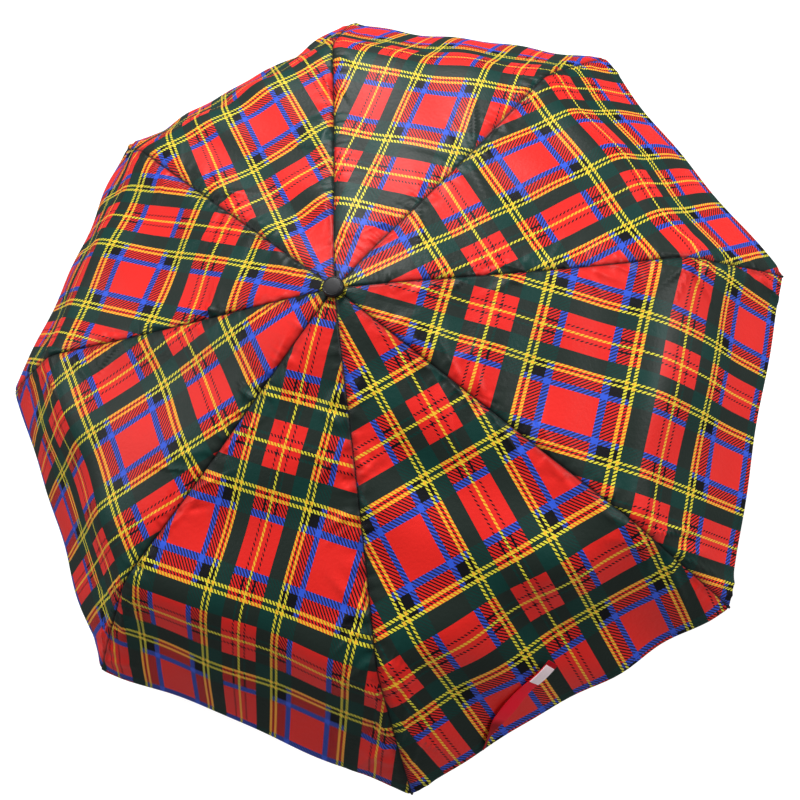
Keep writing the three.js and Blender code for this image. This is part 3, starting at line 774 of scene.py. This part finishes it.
def fillet(outline, size, steps=4):
    """The closed outline with its corners rounded."""
    made = []
    for before, at, after in zip(outline[-1:] + outline[:-1], outline, outline[1:] + outline[:1]):
        before, at, after = (np.array(p, float) for p in (before, at, after))
        a, b = before - at, after - at
        la, lb = np.linalg.norm(a), np.linalg.norm(b)
        straight = abs(a[0] * b[1] - a[1] * b[0]) < 0.2 * la * lb
        if at[0] < 1e-6 or straight:
            made.append(at)
            continue
        cut = min(size, 0.45 * la, 0.45 * lb)
        start, end = at + a / la * cut, at + b / lb * cut
        for k in range(steps + 1):
            t = k / steps
            made.append((1 - t) ** 2 * start + 2 * t * (1 - t) * at + t * t * end)
    return made


def turned(name, outline, material, size=0.4, segments=96, shape=None):
    """Turned about the shaft's axis from a closed outline of radius and height, in millimetres."""
    points = fillet(outline, size)
    verts, rings = [], []
    for r, z in points:
        ring = []
        for k in range(1 if r < 1e-6 else segments):
            angle = 2 * math.pi * k / segments
            radius = r if shape is None else shape(r, z, angle)
            ring.append(len(verts))
            verts.append((radius * math.cos(angle) * MM, radius * math.sin(angle) * MM, z * MM))
        rings.append(ring * segments if len(ring) == 1 else ring)
    faces = []
    for low, high in zip(rings, rings[1:] + rings[:1]):
        for k in range(segments):
            n = (k + 1) % segments
            corners = list(dict.fromkeys((low[k], low[n], high[n], high[k])))
            if len(corners) > 2:
                faces.append(corners)
    return add_mesh(name, verts, faces, material)


def plastic(name, colour, rough, grain, height):
    shade = Shade(name, Specular_IOR_Level=0.45)
    cloud = shade.noise(60, 4)
    lighter = tuple(min(1.0, c * 1.5 + 0.004) for c in colour[:3]) + (1.0,)
    shade.set("Base Color", shade.mix(cloud, colour, lighter))
    shade.set("Roughness", shade.spread(shade.noise(240, 3), rough - 0.06, rough + 0.1))
    shade.set("Normal", shade.bump(shade.noise(grain, 2), height, 0.5))
    return shade.material


def metal(name, colour, rough):
    shade = Shade(name, Metallic=1.0)
    cloud = shade.noise(35, 4)
    darker = tuple(c * 0.8 for c in colour[:3]) + (1.0,)
    shade.set("Base Color", shade.mix(cloud, darker, colour))
    place = shade.node("Mapping", shade.node("TexCoord", out=3), None, None, (1, 1, 0.04))
    lines = shade.noise(900, 2, place=place)
    shade.set("Roughness", shade.spread(lines, rough - 0.05, rough + 0.12))
    shade.set("Normal", shade.bump(lines, 0.00003, 0.3))
    return shade.material


cap_black = plastic("cap_plastic", srgb(20, 20, 22), 0.42, 2200, 0.00004)
black_plastic = plastic("black_plastic", srgb(22, 22, 24), 0.46, 1800, 0.00005)
grip_rubber = plastic("grip_rubber", srgb(26, 26, 27), 0.68, 1500, 0.0001)
tube_chrome = metal("tube_chrome", srgb(206, 208, 212), 0.2)
wire_steel = metal("wire_steel", srgb(186, 188, 192), 0.3)
rib_shade = Shade("rib_lacquer", Metallic=0.5, Coat_Weight=0.3)
rib_cloud = rib_shade.noise(70, 4)
rib_shade.set("Base Color", rib_shade.mix(rib_cloud, srgb(30, 30, 33), srgb(52, 52, 56)))
rib_shade.set("Roughness", rib_shade.spread(rib_cloud, 0.3, 0.46))
rib_shade.set("Normal", rib_shade.bump(rib_shade.noise(1400, 2), 0.00004, 0.4))
rib_lacquer = rib_shade.material


def span(node):
    """A node's outer radius, low end and high end, in millimetres."""
    low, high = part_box(node)
    return (high.y - low.y) / 2 / MM, low.z / MM, high.z / MM


CAP_BORE = 3.3
CAP_CROWN = 2.1  # the cap's thickness over its bore
cap_r, cap_low, cap_high = span("cap")
tall = cap_high - cap_low
cap_outline = [
    (CAP_BORE, cap_low),
    (cap_r - 0.5, cap_low),
    (cap_r, cap_low + 0.6),
    (cap_r, cap_low + 0.62 * tall),
    (cap_r - 0.9, cap_high - 0.9),
    (cap_r - 2.0, cap_high - 0.35),
    (cap_r - 2.3, cap_high - 0.62),
    (cap_r - 2.7, cap_high - 0.25),
    (cap_r * 0.4, cap_high - 0.04),
    (0, cap_high),
    (0, cap_high - CAP_CROWN),
    (CAP_BORE, cap_high - CAP_CROWN),
]
wear(turned("cap_disc", cap_outline, cap_black, 0.5), "top_shaft", "cap_plastic", "cap")

# Each tube's body, radius and wall. The two lower tubes flare at the top, so that they can't be pulled out.
TUBES = {
    "lower_tube": ("handle", 3.4, 0.5),
    "middle_tube": ("middle_shaft", 4.55, 0.4),
    "top_tube": ("top_shaft", 5.75, 0.45),
}
for node, (body, shaft_r, wall) in TUBES.items():
    outer, low, high = span(node)
    outline = [(shaft_r - wall, low), (shaft_r, low)]
    if node != "top_tube":
        outline += [(shaft_r, high - 3), (outer, high - 2.6)]
    outline += [(outer, high), (shaft_r - wall, high)]
    wear(turned(f"{node}_drawn", outline, tube_chrome, 0.12, 64), body, "tube_steel", node)

GRIP_BORE = 9.15
grip_r, grip_low, grip_high = span("handle_grip")
grip_height = grip_high - grip_low
GRIP_WAIST = 1.2
FLUTES = 28
FLUTE_DEPTH = 0.35


def grip_shape(r, z, angle):
    """The grip's radius with its flutes, which fade out at both ends."""
    if r < grip_r - GRIP_WAIST - 1:
        return r
    share = (z - grip_low) / grip_height
    inside = float(smooth(0.1, 0.18, share) * (1 - smooth(0.82, 0.9, share)))
    return r - FLUTE_DEPTH * inside * (0.5 + 0.5 * math.cos(FLUTES * angle)) ** 2


GRIP_STEPS = 28
waisted = [
    (grip_r - GRIP_WAIST * math.sin(math.pi * k / GRIP_STEPS), grip_low + grip_height * k / GRIP_STEPS)
    for k in range(GRIP_STEPS + 1)
]
waisted[0], waisted[-1] = (grip_r - 0.02, grip_low), (grip_r - 0.02, grip_high)
grip_outline = [(GRIP_BORE, grip_low), *waisted, (GRIP_BORE, grip_high)]
sleeve = turned("grip_sleeve", grip_outline, grip_rubber, 0.5, FLUTES * 8, grip_shape)
wear(sleeve, "handle", "grip_rubber", "handle_grip")

collar_r, collar_low, collar_high = span("handle_collar")
collar_outline = [
    (GRIP_BORE, collar_low),
    (collar_r - 0.5, collar_low),
    (collar_r, collar_low + 1),
    (collar_r, collar_low + 3.2),
    (collar_r - 0.5, collar_low + 3.6),
    (collar_r - 0.5, collar_low + 4.2),
    (collar_r, collar_low + 4.6),
    (collar_r, collar_high - 1.2),
    (collar_r - 1.4, collar_high),
    (GRIP_BORE, collar_high),
]
collar_piece = turned("collar_ring", collar_outline, black_plastic, 0.4)
wear(collar_piece, "handle", "black_plastic", "handle_collar")

# The end cap, with a hole through it for a wrist cord.
end_r, end_low, end_high = span("handle_end_cap")
end_outline = [
    (0, end_low),
    (end_r - 3.4, end_low),
    (end_r - 1.2, end_low + 0.1),
    (end_r, end_low + 1.3),
    (end_r, end_high - 1.6),
    (end_r - 0.4, end_high - 1.2),
    (end_r - 0.4, end_high),
    (0, end_high),
]
end_piece = turned("end_plug", end_outline, black_plastic, 0.5, 72)
CORD_HOLE = 1.5
CORD_INSET = 4.5
DRILL_SIDES = 32
DRILL_REACH = 30
drill_x, drill_z = end_r - CORD_INSET, (end_low + end_high) / 2
drill_verts = []
for k in range(DRILL_SIDES):
    angle = 2 * math.pi * k / DRILL_SIDES
    x, z = drill_x + CORD_HOLE * math.cos(angle), drill_z + CORD_HOLE * math.sin(angle)
    drill_verts += [(x * MM, y * MM, z * MM) for y in (-DRILL_REACH, DRILL_REACH)]
ring = range(DRILL_SIDES)
drill_faces = [[2 * k, 2 * ((k + 1) % DRILL_SIDES), 2 * ((k + 1) % DRILL_SIDES) + 1, 2 * k + 1] for k in ring]
drill_faces += [[2 * k for k in reversed(ring)], [2 * k + 1 for k in ring]]
drill = add_mesh("drill", drill_verts, drill_faces, black_plastic)
cut = end_piece.modifiers.new("cord_hole", "BOOLEAN")
cut.operation, cut.object, cut.solver = "DIFFERENCE", drill, "EXACT"
bpy.context.view_layer.update()
finished = bpy.data.meshes.new_from_object(end_piece.evaluated_get(bpy.context.evaluated_depsgraph_get()))
end_piece.modifiers.clear()
end_piece.data = finished
bpy.data.objects.remove(drill)
wear(end_piece, "handle", "black_plastic", "handle_end_cap")

# ---- Finishes of the parts that stay as packed ---------------------------------------------------

PACKED = {
    "handle_core": black_plastic,
    "lower_bush": black_plastic,
    "upper_bush": black_plastic,
    "crown": black_plastic,
    "crown_wire": wire_steel,
    "stop_collar": black_plastic,
    "crown_washer": black_plastic,
    "runner": black_plastic,
    "runner_wire": wire_steel,
}
for k in RIB_IDS:
    for node in ("inner_rib", "middle_rib", "outer_rib", "stretcher"):
        PACKED[f"{node}_{k}"] = rib_lacquer
for node, material in PACKED.items():
    slots = frame["nodes"][node].data.materials
    slots.clear()
    slots.append(material)

# ---- Stage, lights and camera --------------------------------------------------------------------

FLOOR = 9.0
floor_mesh = bpy.data.meshes.new("floor")
floor_mesh.from_pydata(
    [(-FLOOR, -FLOOR, 0), (FLOOR, -FLOOR, 0), (FLOOR, FLOOR, 0), (-FLOOR, FLOOR, 0)], [], [(0, 1, 2, 3)]
)
floor = bpy.data.objects.new("floor", floor_mesh)
bpy.context.scene.collection.objects.link(floor)
paper = Shade("floor_paper", Roughness=0.9, Specular_IOR_Level=0.0, Emission_Strength=0.9)
paper.set("Base Color", srgb(170, 170, 170))
paper.set("Emission Color", (1, 1, 1, 1))
floor_mesh.materials.append(paper.material)
floor.visible_glossy = False  # the photo's white surround doesn't show in the cloth's gloss

world = bpy.data.worlds.new("studio")
bpy.context.scene.world = world
world.use_nodes = True
world.node_tree.nodes["Background"].inputs[0].default_value = (1, 1, 1, 1)
world.node_tree.nodes["Background"].inputs[1].default_value = 0.12


def area_light(name, place, target, size, watts):
    data = bpy.data.lights.new(name, "AREA")
    data.shape = "DISK"
    data.size = size
    data.energy = watts
    lamp = bpy.data.objects.new(name, data)
    bpy.context.scene.collection.objects.link(lamp)
    lamp.location = place
    lamp.rotation_euler = (Vector(target) - Vector(place)).to_track_quat("-Z", "Y").to_euler()


MIDDLE = (0, 0, 0.45)
area_light("key", (-0.1, 1.7, 2.2), MIDDLE, 0.6, 56)
area_light("right", (2.2, 0.2, 1.9), MIDDLE, 1.0, 34)
area_light("left", (-2.2, 0.4, 1.9), MIDDLE, 1.0, 16)

# The camera is placed round the canopy in units of its corner radius, from the cloth's apex.
CORNER = CLOTH_LINE[-1][0] * MM
VIEW_AZIMUTH, VIEW_ELEVATION, VIEW_ROLL = 32.476, 67.894, -26.468
VIEW_DISTANCE = 1.617
VIEW_FOOT = (0.0, 0.0, -0.35)
VIEW_AIM = (0.163, -0.038, -0.35)
VIEW_LENS = 28.25
VIEW_SHIFT = (-0.0494, -0.0710)

azimuth, elevation = math.radians(VIEW_AZIMUTH), math.radians(VIEW_ELEVATION)
back = Vector(
    (
        math.sin(azimuth) * math.cos(elevation),
        -math.cos(azimuth) * math.cos(elevation),
        math.sin(elevation),
    )
)
apex = Vector((0, 0, APEX_Z * MM))
eye = apex + (Vector(VIEW_FOOT) + VIEW_DISTANCE * back) * CORNER
facing = (eye - (apex + Vector(VIEW_AIM) * CORNER)).normalized()
right = (-facing).cross(Vector((0, 0, 1))).normalized()
up = right.cross(-facing)
roll = math.radians(VIEW_ROLL)
right, up = (
    math.cos(roll) * right + math.sin(roll) * up,
    -math.sin(roll) * right + math.cos(roll) * up,
)
camera_data = bpy.data.cameras.new("camera")
camera_data.sensor_width = 36
camera_data.lens = VIEW_LENS
camera_data.shift_x, camera_data.shift_y = VIEW_SHIFT
camera_data.clip_start = 0.05
camera = bpy.data.objects.new("camera", camera_data)
bpy.context.scene.collection.objects.link(camera)
turn = Matrix((right, up, facing)).transposed().to_4x4()
camera.matrix_world = Matrix.Translation(eye) @ turn
bpy.context.scene.camera = camera
bpy.context.scene.view_settings.view_transform = "Standard"
